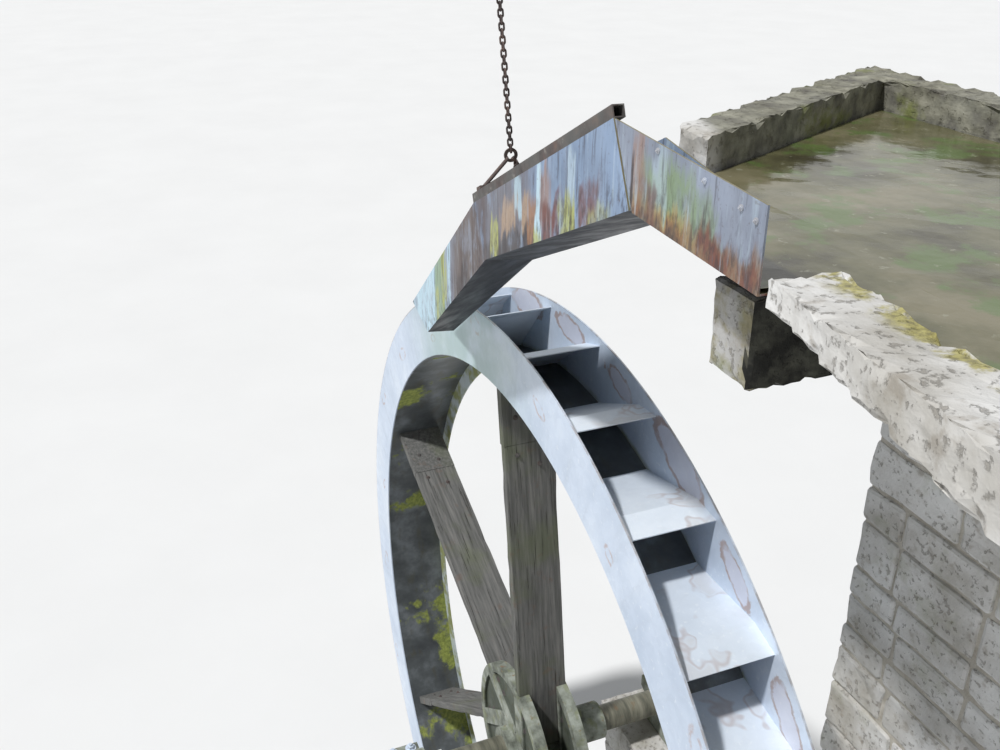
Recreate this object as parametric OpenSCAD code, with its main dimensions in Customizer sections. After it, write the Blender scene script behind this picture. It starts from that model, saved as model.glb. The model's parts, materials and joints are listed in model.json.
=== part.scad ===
// Overshot water wheel of sheet steel with plank arms, on masonry piers, with its hung feed chute.
// Millimetres, +Z up. The wheel's axle runs along Y, and the chute feeds it from the +X side.

/* [Wheel] */
// Outer diameter of the wheel
wheel_d = 4500; // [3600:50:5400]
// Width of the wheel over both shroud rings
wheel_w = 345; // [280:5:600]
// Depth of the near shroud ring, from its outer edge to the sole
shroud_depth = 275; // [200:5:320]
// How much further in the far shroud ring reaches than the near one
far_shroud_extra = 95; // [0:5:120]
// Thickness of the shroud ring plates
shroud_t = 6; // [4:1:12]
// Thickness of the sole plate that closes the bucket backs
sole_t = 5; // [4:1:10]
// Angle of the first arm from straight up
wheel_phase = -9; // [-30:1:30]

/* [Buckets] */
// Number of buckets, a multiple of six
bucket_count = 30; // [24:6:36]
// Thickness of a bucket plate
bucket_t = 4; // [3:1:8]
// How far a bucket lip stays inside the rings' outer edge
lip_inset = 30; // [10:1:60]
// How far the fold of a bucket plate stays inside the rings' outer edge
fold_inset = 74; // [50:1:110]
// Angle from the fold of a bucket plate to its lip
fold_angle = 2.95; // [2:0.05:4]
// Angle from the root of a bucket plate to its lip
root_angle = 11; // [9:0.1:13]
// Angle of the first bucket lip from the first arm
lip_offset = 1.8; // [0:0.1:6]

/* [Arms] */
// Width of an arm plank along the axle
arm_w = 242; // [160:2:270]
// Thickness of an arm plank
arm_t = 45; // [30:1:60]
// Distance of an arm's middle line from the axle's centre
arm_offset = 131; // [125:1:150]
// Distance from the axle at which an arm's plank starts
arm_start = 70; // [40:5:110]
// Distance from the axle at which a plank meets its end piece
arm_joint = 1650; // [1400:10:1700]

/* [Hub] */
// Diameter of the axle
axle_d = 130; // [90:2:170]
// Outer diameter of the hub's boss
boss_d = 212; // [190:2:216]
// Length of the hub's boss
boss_l = 330; // [280:5:360]
// Diameter of a hub flange
flange_d = 820; // [600:10:1000]
// Thickness of a hub flange
flange_t = 55; // [30:1:60]
// Distance between the middles of the two hub flanges
flange_gap = 195; // [160:1:200]
// Width of a flange's thick rim
flange_rim_w = 45; // [30:1:70]
// Width of the thick ring around the boss
flange_hub_w = 40; // [20:1:60]
// Thickness of a flange's web
flange_web_t = 22; // [15:1:40]
// Thickness of the ribs on both sides of each arm
flange_rib_t = 18; // [10:1:24]
// Diameter of the collar behind the hub
collar_d = 188; // [160:2:220]
// Length of the collar behind the hub
collar_l = 195; // [60:5:200]

/* [Piers] */
// Height of the axle above the ground
axle_h = 2360; // [2300:10:3000]
// Clear distance from the wheel's near side to the near pier
near_gap = 240; // [60:5:400]
// Clear distance from the wheel's far side to the far pier
far_gap = 388; // [240:2:500]
// Thickness of a wheel pier along the axle
pier_t = 460; // [400:10:700]
// Length of a wheel pier across the axle
pier_l = 560; // [540:10:1200]
// Height of a pier's cap stone
cap_h = 120; // [80:5:200]
// How far a cap stone stands out past its pier
cap_out = 25; // [0:5:40]

/* [Bearings] */
// Height of the axle above a bearing's seat
bearing_h = 200; // [130:5:240]
// Length of a bearing's foot across the axle
bearing_foot_l = 440; // [380:10:540]
// Width of a bearing along the axle
bearing_w = 170; // [120:5:220]
// Thickness of a bearing's foot
bearing_foot_t = 45; // [30:1:70]
// Outer diameter of a bearing's round housing
housing_d = 230; // [200:5:260]
// Length across the ears that bolt a bearing's two halves together
ear_l = 340; // [300:5:380]
// Thickness of an ear
ear_t = 32; // [20:1:45]
// Running clearance around the axle in its bearings
running_gap = 0.08; // [0.05:0.01:0.1]
// How far the axle's near end stands out of its bearing
axle_out = 40; // [10:5:100]
// Distance from the far pier's cap stone to the drive end's shoulder
shoulder_gap = 10; // [5:5:60]
// Length of the axle's free drive end
drive_l = 260; // [150:10:500]
// Diameter of the axle's drive end
drive_d = 120; // [80:2:126]

/* [Chute] */
// Inner width of the chute
chute_w = 242; // [200:1:260]
// Thickness of the chute's sheet steel
sheet_t = 4; // [3:1:6]
// Length of the level upper chute
upper_l = 500; // [400:5:700]
// Height of the near side at the upper chute's inlet
inlet_h = 153; // [120:1:220]
// Length of the near side's seam where the two chutes meet
joint_h = 195; // [150:1:260]
// Lean of that seam from straight up
joint_lean = 30; // [24:1:40]
// Height of the far side where the two chutes meet
far_low_h = 20; // [12:1:40]
// Distance from there at which the far side is as high as the near one
far_rise_l = 340; // [250:10:450]
// How far the upper chute's floor laps over the headrace on its far side
floor_lap = 40; // [20:5:60]
// Length of the sloping lower chute, on its near side
lower_l = 1090; // [900:5:1200]
// Slope of the lower chute
lower_slope = 24; // [18:0.5:28]
// How much further down the flow the floor's crease meets the far side
fold_skew = 265; // [100:5:300]
// Length of the near side's seam at the crease
fold_h = 190; // [150:1:220]
// Lean of that seam from straight up
fold_lean = 40; // [30:1:45]
// Side height at the spout's tip
spout_h = 175; // [140:1:220]
// Length of the spout along its near side's foot
spout_l = 968; // [800:2:968]
// How much longer the spout's top edge is than its foot
spout_overhang = 180; // [60:2:220]
// Slope of the spout
spout_slope = 36; // [30:0.5:36]
// Width of the spout at its tip
tip_w = 163; // [140:1:200]
// How much further down the flow the tip's far corner is than its near one
tip_skew = 204; // [100:2:220]
// Angle of the chute in plan, towards the wheel
chute_yaw = 3.8; // [0:0.1:5]
// Place of the chute joint along X from the axle
joint_x = 1656; // [1600:2:1700]
// Distance of the chute's near side from the wheel's near side at the joint
joint_side = 389.5; // [380:0.5:460]
// Height of the chute joint above the wheel's top
joint_rise = 1008; // [990:2:1150]
// Opening between the two near sides at their top edge
joint_gap = 8; // [5:1:30]
// Opening between the two near sides at their feet
floor_gap = 16; // [6:1:30]
// Length of the upper chute's tongue over the lower floor
tongue_l = 30; // [15:1:60]
// Clearance between the tongue and the lower floor
tongue_gap = 1; // [0.5:0.1:3]
// Side of the square tube along the chute's top edges
rail_s = 28; // [20:1:40]
// Wall of that square tube
rail_t = 3; // [2:1:4]
// Length of the tube on the far side, which starts further down than the near one
far_rail_l = 760; // [500:10:900]

/* [Chain] */
// Height of the hanger's eye above the middle of its two feet
hanger_h = 112; // [80:2:160]
// Diameter of the hanger's bars
hanger_d = 12; // [8:1:16]
// Distance from the near side's crease seam to the hanger's near foot
hanger_back = 75; // [40:1:90]
// How much further down the flow the hanger's far foot is than its near one
hanger_skew = 130; // [0:5:200]
// Length of a hanger's foot along its rail
foot_l = 40; // [20:1:60]
// Thickness of a hanger's foot
foot_t = 10; // [6:1:14]
// Outer radius of the hanger's eye
eye_r = 22; // [18:1:26]
// Radius of the hole in the hanger's eye
eye_hole_r = 12; // [10:1:13]
// Thickness of the hanger's eye
eye_t = 5.5; // [4:0.1:6]
// Wire diameter of the chain
chain_d = 6; // [4:1:8]
// Pitch of the chain's links
chain_pitch = 19; // [18:1:30]
// Number of links in the chain
chain_links = 32; // [20:1:40]
// How far the chain's top end stands to the near side
chain_lean = 50; // [0:5:60]
// Radius of the eye bolt's ring, to the middle of its wire
bolt_ring_r = 16; // [12:1:24]
// Wire diameter of the eye bolt's ring
bolt_ring_d = 7; // [5:0.5:7]
// Diameter of the eye bolt's shank
bolt_d = 12; // [8:1:16]
// Length of the eye bolt's shank
bolt_l = 90; // [40:5:150]

/* [Headrace] */
// Length of the headrace channel past the chute's inlet
channel_l = 820; // [600:10:1200]
// Thickness of the channel's floor slab
slab_t = 90; // [60:5:140]
// Height of the channel's far, front and end walls above its floor
race_wall_h = 102; // [80:2:200]
// Thickness of those walls
race_wall_t = 140; // [100:5:200]
// Thickness of the channel's near wall
near_wall_t = 150; // [100:5:200]
// Height of the near wall at the chute
near_wall_h = 42; // [30:2:80]
// Angle of the near wall in plan, away from the wheel
near_wall_angle = 14.7; // [5:0.1:18]
// Thickness of the floor slab's tapered near edge
slab_edge_t = 12; // [8:1:40]
// Width of the taper under the slab's near edge
slab_taper = 190; // [165:5:240]
// Distance down the flow from the chute joint to the front wall
front_l = 143; // [100:1:200]
// Angle of the front wall in plan, from the axle's direction
front_angle = 27.2; // [15:0.1:35]
// How far the channel reaches over its pier
race_lap = 140; // [100:5:300]
// Height of the stone beam under the channel
beam_h = 198; // [150:2:300]
// Width of the stone beam
beam_w = 147; // [120:1:300]
// Distance from the chute's inlet to the beam
beam_back = 175; // [100:5:220]
// How far the beam stands out from the headrace pier
beam_out = 1030; // [800:10:1060]
// How far the beam is let into the headrace pier
beam_in = 200; // [100:10:300]
// Length of the headrace pier along X
race_pier_l = 1675; // [1200:25:1800]
// Thickness of the headrace pier along the axle
race_pier_t = 400; // [350:10:600]

/* [Hidden] */
eps = 0.3;
cut = 20;
far_off = 4000;
wheel_r = wheel_d / 2;
sole_r = wheel_r - shroud_depth;
sole_in_r = sole_r - sole_t;
far_in_r = sole_r - far_shroud_extra;
inner_w = wheel_w - 2 * shroud_t;
lip_r = wheel_r - lip_inset;
fold_r = wheel_r - fold_inset;
bucket_pitch = 360 / bucket_count;
arm_count = 6;
arm_pitch = 360 / arm_count;
buckets_per_bay = bucket_count / arm_count;
near_y = -(wheel_w / 2 + near_gap + pier_t / 2);
far_y = wheel_w / 2 + far_gap + pier_t / 2;
pier_top = axle_h - bearing_h;
axle_start = near_y - bearing_w / 2 - axle_out;
axle_end = far_y + pier_t / 2 + cap_out + shoulder_gap;
drive_end = axle_end + drive_l;
outer_w = chute_w + 2 * sheet_t;

joint_y = wheel_w / 2 + joint_side;
joint_z = wheel_r + joint_rise;

// Points in the chute's own frame, as distances along the flow and up.
function along(a, l) = [l * cos(a), -l * sin(a)];
function above(a, h) = [h * sin(a), h * cos(a)];
fold_p = along(lower_slope, lower_l);
end_p = fold_p + along(spout_slope, spout_l);
fold_top = fold_p + above(fold_lean, fold_h);
joint_top = above(joint_lean, joint_h);
spout_tip = fold_p + above(spout_slope, spout_h) + along(spout_slope, spout_l + spout_overhang);
rail_slope = atan2(joint_top[1] - fold_top[1], fold_top[0] - joint_top[0]);
rail_l = norm(fold_top - joint_top);

// The crease runs askew, so the spout's floor rises towards its far side and its far side tapers in.
spout_rise = fold_skew * (tan(spout_slope) - tan(lower_slope)) / outer_w;
spout_roll = atan(spout_rise * cos(spout_slope));
far_fold_u = fold_p[0] + fold_skew;
far_end_u = end_p[0] + tip_skew;
taper = (outer_w - tip_w) / (far_end_u - far_fold_u);
function near_top(u) = joint_top[1] - (u - joint_top[0]) * tan(rail_slope);
function spout_foot(u, v) = fold_p[1] - (u - fold_p[0]) * tan(spout_slope) + v * spout_rise;

hanger_p = fold_top - along(rail_slope, hanger_back) + above(rail_slope, rail_s);
hanger_far_p = hanger_p + [hanger_skew, -hanger_skew * tan(rail_slope)];
hanger_mid = (hanger_p + hanger_far_p) / 2;
hanger_eye = [hanger_mid[0], outer_w / 2, hanger_mid[1] + hanger_h];
chain_tilt = atan2(chain_lean, chain_links * chain_pitch);
link_r = chain_d * 1.2;
link_s = (chain_pitch + eps) / 2 + chain_d / 2 - link_r;
link_in_r = link_r - chain_d / 2;
seat_drop = link_in_r - sqrt(pow(link_in_r, 2) - pow(eye_t / 2, 2));

// The headrace in plan: its near wall starts flush with the chute's near side.
function in_plan(u, v) = [joint_x - u * cos(chute_yaw) + v * sin(chute_yaw),
                          -joint_y + u * sin(chute_yaw) + v * cos(chute_yaw)];
inlet_near = in_plan(-upper_l - eps, 0);
channel_end = inlet_near[0] + channel_l;
race_pier_y = wheel_w / 2 + far_gap;
far_wall_y = race_pier_y + race_lap;
near_run = [cos(near_wall_angle), -sin(near_wall_angle)];
near_in = [sin(near_wall_angle), cos(near_wall_angle)];
front_run = [-sin(front_angle), cos(front_angle)];
front_p = in_plan(front_l, outer_w + eps);
front_out_p = in_plan(front_l + race_wall_t / cos(front_angle + chute_yaw), outer_w + eps);
function along_near(x, inset) = let (p = inlet_near + near_in * inset)
    p + near_run * (x - p[0]) / near_run[0];
function along_front(p, y) = p + front_run * (y - p[1]) / front_run[1];
channel_floor = joint_z - eps;
channel_bottom = channel_floor - slab_t;
channel_h = slab_t + race_wall_h;
beam_bottom = channel_bottom - beam_h;
mid_x = (channel_end - wheel_r) / 2;
low_y = min(along_near(channel_end, 0)[1], near_y - pier_t / 2 - cap_out);
mid_y = (drive_end + low_y) / 2;

steel = [0.78, 0.83, 0.9];
rusty = [0.52, 0.42, 0.33];
iron = [0.45, 0.47, 0.44];
plank = [0.5, 0.47, 0.42];
stone = [0.72, 0.7, 0.66];

// Puts children on the wheel's centre, with the ground at z = 0 and the origin mid footprint.
module at_axle() { translate([-mid_x, -mid_y, axle_h]) children(); }
// Turns children clockwise about the axle, seen from the near side.
module turned(angle) { rotate([0, angle, 0]) children(); }
module disc(r, w, y = 0) {
    translate([0, y, 0]) rotate([90, 0, 0]) cylinder(r = r, h = w, center = true, $fn = 480);
}
module ring(r_out, r_in, w, y = 0) {
    difference() {
        disc(r_out, w, y);
        disc(r_in, w + cut, y);
    }
}

module near_shroud() {
    color(steel) at_axle() ring(wheel_r, sole_r, shroud_t, -(wheel_w - shroud_t) / 2);
}
module far_shroud() {
    color(steel) at_axle() ring(wheel_r, far_in_r, shroud_t, (wheel_w - shroud_t) / 2);
}
module sole() {
    color(steel) at_axle() ring(sole_r, sole_in_r, inner_w);
}

// A bucket plate's section: root, fold and lip, with its thickness laid inwards.
function polar(r, a) = [r * sin(a), r * cos(a)];
function unit(v) = v / norm(v);
function side(p, q) = let (d = unit(q - p)) [d[1], -d[0]];
function mitre(a, b, c, t) = let (m = unit(side(a, b) + side(b, c))) b + m * t / (m * side(a, b));
module bucket_section() {
    fold = polar(fold_r, -fold_angle);
    lip = polar(lip_r, 0);
    foot = polar(sole_r, -root_angle);
    root = foot + unit(foot - fold) * cut;
    polygon([root, fold, lip, lip + side(fold, lip) * bucket_t,
             mitre(root, fold, lip, bucket_t), root + side(root, fold) * bucket_t]);
}
module bucket_plate() {
    difference() {
        rotate([90, 0, 0]) linear_extrude(inner_w, center = true) bucket_section();
        disc(sole_r + eps, inner_w + cut);
    }
}
module bucket_bay(n) {
    color(steel) at_axle() for (i = [0 : buckets_per_bay - 1])
        turned(wheel_phase + lip_offset + (n * buckets_per_bay + i) * bucket_pitch) bucket_plate();
}

module arm(n) {
    color(plank) at_axle() turned(wheel_phase + n * arm_pitch)
        translate([arm_offset - arm_t / 2, -arm_w / 2, arm_start])
            cube([arm_t, arm_w, arm_joint - arm_start]);
}
module arm_end_pieces() {
    color(plank) at_axle() intersection() {
        disc(sole_in_r - eps, inner_w);
        union() for (n = [0 : arm_count - 1]) turned(wheel_phase + n * arm_pitch)
            translate([arm_offset - arm_t / 2, -arm_w / 2, arm_joint]) cube([arm_t, arm_w, wheel_r]);
    }
}

module arm_slots() {
    for (n = [0 : arm_count - 1]) turned(wheel_phase + n * arm_pitch)
        translate([arm_offset - arm_t / 2 - eps, -arm_w / 2 - eps, arm_start - eps])
            cube([arm_t + 2 * eps, arm_w + 2 * eps, flange_d]);
}
module hub_boss() {
    color(iron) at_axle() ring(boss_d / 2, axle_d / 2 + eps, boss_l);
}
// Pockets in a flange's two faces, between its rim, its hub ring and the ribs beside the arms.
module flange_pockets(y) {
    for (s = [-1, 1]) difference() {
        ring(flange_d / 2 - flange_rim_w, boss_d / 2 + flange_hub_w, flange_t, y + s * (flange_t + flange_web_t) / 2);
        for (n = [0 : arm_count - 1]) turned(wheel_phase + n * arm_pitch)
            translate([arm_offset - arm_t / 2 - flange_rib_t, y - flange_d / 2, 0])
                cube([arm_t + 2 * flange_rib_t, flange_d, flange_d]);
    }
}
module flange(y) {
    color(iron) at_axle() difference() {
        disc(flange_d / 2, flange_t, y);
        flange_pockets(y);
        disc(boss_d / 2 + eps, flange_t + cut, y);
        arm_slots();
    }
}
module near_flange() { flange(-flange_gap / 2); }
module far_flange() { flange(flange_gap / 2); }
module hub_collar() {
    color(iron) at_axle() ring(collar_d / 2, axle_d / 2 + eps, collar_l, boss_l / 2 + collar_l / 2 + eps);
}
module axle() {
    color(rusty) at_axle() {
        disc(axle_d / 2, axle_end - axle_start, (axle_end + axle_start) / 2);
        disc(drive_d / 2, drive_end - axle_end, (drive_end + axle_end) / 2);
    }
}

module pier(y) {
    color(stone) at_axle() translate([-pier_l / 2, y - pier_t / 2, -axle_h])
        cube([pier_l, pier_t, pier_top - cap_h]);
}
module cap_stone(y) {
    color(stone) at_axle() translate([-pier_l / 2 - cap_out, y - pier_t / 2 - cap_out, -bearing_h - cap_h])
        cube([pier_l + 2 * cap_out, pier_t + 2 * cap_out, cap_h]);
}
module near_pier() { pier(near_y); }
module far_pier() { pier(far_y); }
module near_cap_stone() { cap_stone(near_y); }
module far_cap_stone() { cap_stone(far_y); }

module bearing_bore(y) { disc(axle_d / 2 + running_gap, bearing_w + cut, y); }
// A bearing's pedestal: foot, sloping sides, and ears at the height of the axle.
module bearing(y) {
    half = [[bearing_foot_l / 2, -bearing_h], [bearing_foot_l / 2, bearing_foot_t - bearing_h],
            [housing_d / 2, -2 * ear_t], [ear_l / 2, -ear_t], [ear_l / 2, 0]];
    other = [for (i = [len(half) - 1 : -1 : 0]) [-half[i][0], half[i][1]]];
    color(iron) at_axle() difference() {
        translate([0, y + bearing_w / 2, 0]) rotate([90, 0, 0]) linear_extrude(bearing_w)
            polygon(concat(half, other));
        bearing_bore(y);
    }
}
module bearing_cap(y) {
    color(iron) at_axle() difference() {
        union() {
            disc(housing_d / 2, bearing_w, y);
            translate([-ear_l / 2, y - bearing_w / 2, -ear_t]) cube([ear_l, bearing_w, 2 * ear_t]);
        }
        translate([-housing_d, y - bearing_w, -housing_d]) cube([2 * housing_d, 2 * bearing_w, housing_d]);
        bearing_bore(y);
    }
}
module near_bearing() { bearing(near_y); }
module far_bearing() { bearing(far_y); }
module near_bearing_cap() { bearing_cap(near_y); }
module far_bearing_cap() { bearing_cap(far_y); }

// The chute's own frame: u runs down the flow, v from the near side to the far one, z up.
module in_chute() {
    at_axle() translate([joint_x, -joint_y, joint_z]) rotate([0, 0, -chute_yaw]) mirror([1, 0, 0]) children();
}
// A prism across the chute from v1 to v2 with a side outline, and an upright one with an outline in plan.
module side_band(outline, v1, v2) {
    translate([0, v2, 0]) rotate([90, 0, 0]) linear_extrude(v2 - v1) polygon(outline);
}
module plan_band(outline) { translate([0, 0, -far_off]) linear_extrude(2 * far_off) polygon(outline); }
// Crease, tip and far side in plan.
function crease(v) = [fold_p[0] + fold_skew * v / outer_w, v];
function tip(v) = [end_p[0] + tip_skew * v / tip_w, v];
function far_line(u, inset) = [u, outer_w - inset - taper * (u - far_fold_u)];

module lower_chute() {
    color(rusty) in_chute() {
        side_band([[0, 0], fold_p, fold_top, joint_top], 0, sheet_t);
        side_band([[0, 0], [far_fold_u, -far_fold_u * tan(lower_slope)], [far_fold_u, near_top(far_fold_u)],
                   [far_rise_l, near_top(far_rise_l)], [0, far_low_h]], outer_w - sheet_t, outer_w);
        intersection() {
            rotate([0, lower_slope, 0]) cube([2 * lower_l, outer_w, sheet_t]);
            plan_band([[-cut, sheet_t], crease(sheet_t), crease(outer_w - sheet_t), [-cut, outer_w - sheet_t]]);
        }
    }
}
module chute_spout() {
    far_end = far_line(far_end_u, 0);
    far_top = spout_tip + [tip_skew, spout_foot(far_end_u, far_end[1]) - end_p[1]];
    color(rusty) in_chute() {
        side_band([fold_p, end_p, spout_tip, fold_top], 0, sheet_t);
        intersection() {
            translate([fold_p[0], 0, fold_p[1]]) rotate([0, spout_slope, 0]) rotate([spout_roll, 0, 0])
                translate([-spout_l, -outer_w, 0]) cube([3 * spout_l, 3 * outer_w, sheet_t]);
            plan_band([crease(sheet_t), tip(sheet_t), far_line(far_end_u, sheet_t / 2),
                       far_line(far_fold_u, sheet_t / 2), far_line(far_fold_u, sheet_t),
                       crease(outer_w - sheet_t)]);
        }
        intersection() {
            side_band([[far_fold_u, spout_foot(far_fold_u, outer_w)],
                       [far_end_u, spout_foot(far_end_u, far_end[1])],
                       far_top, [far_fold_u, near_top(far_fold_u)]], -cut, outer_w + cut);
            plan_band([far_line(far_fold_u - cut, 0), far_line(far_top[0] + cut, 0),
                       far_line(far_top[0] + cut, sheet_t), far_line(far_fold_u - cut, sheet_t)]);
        }
    }
}
module upper_chute() {
    tongue_z = sheet_t + tongue_gap;
    tongue_end = along(lower_slope, tongue_l);
    color(rusty) in_chute() {
        side_band([[-upper_l, 0], [-floor_gap, 0], joint_top - [joint_gap, 0], [-upper_l, inlet_h]], 0, sheet_t);
        side_band([[-upper_l, 0], [-floor_gap, 0], [-floor_gap, sheet_t], [-upper_l, sheet_t]],
                  sheet_t, outer_w + floor_lap);
        side_band([[-2 * floor_gap, sheet_t], [-floor_gap, sheet_t], [-floor_gap, tongue_z],
                   above(lower_slope, tongue_z), above(lower_slope, tongue_z) + tongue_end,
                   above(lower_slope, tongue_z + sheet_t) + tongue_end,
                   [0, tongue_z + sheet_t], [-2 * floor_gap, tongue_z + sheet_t]], sheet_t, outer_w - sheet_t);
    }
}
module rail(l) {
    rotate([0, rail_slope, 0]) difference() {
        cube([l, rail_s, rail_s]);
        translate([-cut, rail_t, rail_t]) cube([l + 2 * cut, rail_s - 2 * rail_t, rail_s - 2 * rail_t]);
    }
}
module chute_rails() {
    far_u = far_fold_u - far_rail_l * cos(rail_slope);
    color(iron) in_chute() {
        translate([joint_top[0], 0, joint_top[1]]) rail(rail_l);
        translate([far_u, outer_w - rail_s, near_top(far_u)]) rail(far_rail_l);
    }
}

module bar(p, q, d) {
    v = q - p;
    translate(p) rotate([0, acos(v[2] / norm(v)), atan2(v[1], v[0])]) cylinder(d = d, h = norm(v), $fn = 48);
}
module across(r, w) { rotate([0, 90, 0]) cylinder(r = r, h = w, center = true, $fn = 48); }
module hanger_leg(p, v) {
    bar([p[0], v, p[1] + foot_t / 2], hanger_eye, hanger_d);
    translate([p[0], v, p[1] + eps]) rotate([0, rail_slope, 0])
        translate([-foot_l / 2, -rail_s / 2, 0]) cube([foot_l, rail_s, foot_t]);
}
module chute_hanger() {
    color(iron) in_chute() difference() {
        union() {
            hanger_leg(hanger_p, rail_s / 2);
            hanger_leg(hanger_far_p, outer_w - rail_s / 2);
            translate(hanger_eye) across(eye_r, eye_t);
        }
        translate(hanger_eye) across(eye_hole_r, hanger_d + cut);
    }
}

// One link: two half rings joined by two straight bars, its inner length a little over the pitch.
module half_ring(r, d) {
    rotate([90, 0, 0]) rotate_extrude(angle = 180, $fn = 48) translate([r, 0]) circle(d = d, $fn = 24);
}
module link() {
    for (turn = [0, 180]) rotate([0, turn, 0]) {
        translate([0, 0, link_s]) half_ring(link_r, chain_d);
        translate([link_r, 0, -link_s]) cylinder(d = chain_d, h = 2 * link_s, $fn = 24);
    }
}
// The chain's own frame: up along its run, from where its first link's bend seats in the hanger's eye.
module along_chain() {
    translate(hanger_eye + [0, 0, eye_hole_r - seat_drop]) rotate([chain_tilt, 0, 0]) children();
}
module hanger_chain() {
    color(iron) in_chute() along_chain() for (i = [0 : chain_links - 1])
        translate([0, 0, (chain_pitch - eps) / 2 + i * chain_pitch]) rotate([0, 0, 90 * (i % 2)]) link();
}
module chain_eye() {
    ring_z = chain_links * chain_pitch - eps - bolt_ring_d / 2 + bolt_ring_r;
    turn = 90 * (chain_links % 2);
    color(iron) in_chute() along_chain() translate([0, 0, ring_z]) rotate([0, 0, turn]) {
        rotate([90, 0, 0]) rotate_extrude($fn = 48)
            translate([bolt_ring_r, 0]) circle(d = bolt_ring_d, $fn = 24);
        translate([0, 0, bolt_ring_r]) cylinder(d = bolt_d, h = bolt_l, $fn = 48);
    }
}

// The beam, or with a margin the pocket for it in the pier.
module beam_block(margin) {
    translate([inlet_near[0] - beam_back - beam_w - margin, race_pier_y - beam_out, beam_bottom - margin])
        cube([beam_w + 2 * margin, beam_out + beam_in + margin, beam_h + 2 * margin]);
}
module headrace_pier() {
    color(stone) at_axle() difference() {
        translate([channel_end - race_pier_l, race_pier_y, -axle_h])
            cube([race_pier_l, race_pier_t, axle_h + channel_bottom]);
        beam_block(eps);
    }
}
module headrace_beam() {
    color(stone) at_axle() beam_block(0);
}
module headrace_channel() {
    color(stone) at_axle() difference() {
        translate([0, 0, channel_bottom]) linear_extrude(channel_h)
            polygon([inlet_near, along_near(channel_end, 0), [channel_end, far_wall_y],
                     along_front(front_out_p, far_wall_y), front_out_p, in_plan(-upper_l - eps, outer_w + eps)]);
        translate([0, 0, channel_floor]) linear_extrude(channel_h)
            polygon([along_near(joint_x + upper_l / 2, near_wall_t), along_near(channel_end - race_wall_t, near_wall_t),
                     [channel_end - race_wall_t, far_wall_y - race_wall_t],
                     along_front(front_p, far_wall_y - race_wall_t), along_front(front_p, front_p[1] - cut)]);
        near_wall_frame() {
            translate([-near_wall_t, 0, 0]) rotate([90, 0, 90]) linear_extrude(far_off)
                polygon([under_slab(-cut), under_slab(2 * slab_taper), [-cut, under_slab(2 * slab_taper)[1]]]);
            translate([0, near_wall_t + cut, 0]) rotate([90, 0, 0]) linear_extrude(near_wall_t + 2 * cut)
                polygon([near_wall_top(-near_wall_t), near_wall_top(2 * channel_l),
                         [-near_wall_t, near_wall_top(2 * channel_l)[1]]]);
        }
    }
}
// The near wall's own frame: x along its face from the chute's inlet, z up from the channel's floor.
// The taper under the slab is drawn across it, and the wall's sloping top along it.
function under_slab(y) = [y, -slab_edge_t - y * (slab_t - slab_edge_t) / slab_taper];
function near_wall_top(x) = [x, near_wall_h + x * (race_wall_h - near_wall_h) / channel_l];
module near_wall_frame() {
    translate([inlet_near[0], inlet_near[1], channel_floor]) rotate([0, 0, -near_wall_angle]) children();
}

near_pier();
far_pier();
near_cap_stone();
far_cap_stone();
near_bearing();
far_bearing();
near_bearing_cap();
far_bearing_cap();
headrace_pier();
headrace_beam();
headrace_channel();
upper_chute();
lower_chute();
chute_spout();
chute_rails();
chute_hanger();
hanger_chain();
chain_eye();
near_shroud();
far_shroud();
sole();
bucket_bay(0);  // buckets_1
bucket_bay(1);  // buckets_2
bucket_bay(2);  // buckets_3
bucket_bay(3);  // buckets_4
bucket_bay(4);  // buckets_5
bucket_bay(5);  // buckets_6
arm(0);  // arm_1
arm(1);  // arm_2
arm(2);  // arm_3
arm(3);  // arm_4
arm(4);  // arm_5
arm(5);  // arm_6
arm_end_pieces();
hub_boss();
near_flange();
far_flange();
hub_collar();
axle();
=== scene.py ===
"""Overshot water wheel of galvanised sheet with plank arms, its masonry and its hung feed chute."""

import json
import math
import random

import bmesh
import bpy
from mathutils import Matrix, Vector, noise


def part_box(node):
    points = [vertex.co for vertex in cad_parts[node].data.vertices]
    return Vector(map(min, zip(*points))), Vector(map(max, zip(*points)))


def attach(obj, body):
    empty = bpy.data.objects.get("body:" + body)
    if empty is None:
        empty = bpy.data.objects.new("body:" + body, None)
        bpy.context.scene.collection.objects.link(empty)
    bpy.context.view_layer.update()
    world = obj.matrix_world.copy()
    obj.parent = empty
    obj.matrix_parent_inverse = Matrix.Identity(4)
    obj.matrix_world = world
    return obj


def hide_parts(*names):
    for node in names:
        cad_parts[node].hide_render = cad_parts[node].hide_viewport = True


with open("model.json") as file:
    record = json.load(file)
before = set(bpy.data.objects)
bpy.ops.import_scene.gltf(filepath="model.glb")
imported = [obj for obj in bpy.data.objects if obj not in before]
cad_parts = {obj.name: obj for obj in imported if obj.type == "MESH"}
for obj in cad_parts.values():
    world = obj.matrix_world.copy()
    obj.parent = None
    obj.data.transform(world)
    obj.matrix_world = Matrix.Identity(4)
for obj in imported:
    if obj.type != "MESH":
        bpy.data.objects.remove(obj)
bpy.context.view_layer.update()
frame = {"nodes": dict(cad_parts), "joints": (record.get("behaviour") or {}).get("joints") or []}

# The wheel: its radii from the frame, and its angles clockwise from straight up
AXLE = Vector(frame["joints"][0]["pos_m"])
RING_LOW, RING_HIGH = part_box("near_shroud")
SOLE_LOW, SOLE_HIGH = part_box("sole")
WHEEL_R = (RING_HIGH.x - RING_LOW.x) / 2
SOLE_R = (SOLE_HIGH.x - SOLE_LOW.x) / 2
BUCKETS = 30
PITCH = 2 * math.pi / BUCKETS
FIRST_LIP = math.radians(-7.2)
ARMS = 6
FIRST_ARM = math.radians(-9)
ARM_OFFSET, ARM_THICK, ARM_WIDE = 0.131, 0.045, 0.242
ARM_START, ARM_JOINT = 0.07, 1.65

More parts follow.
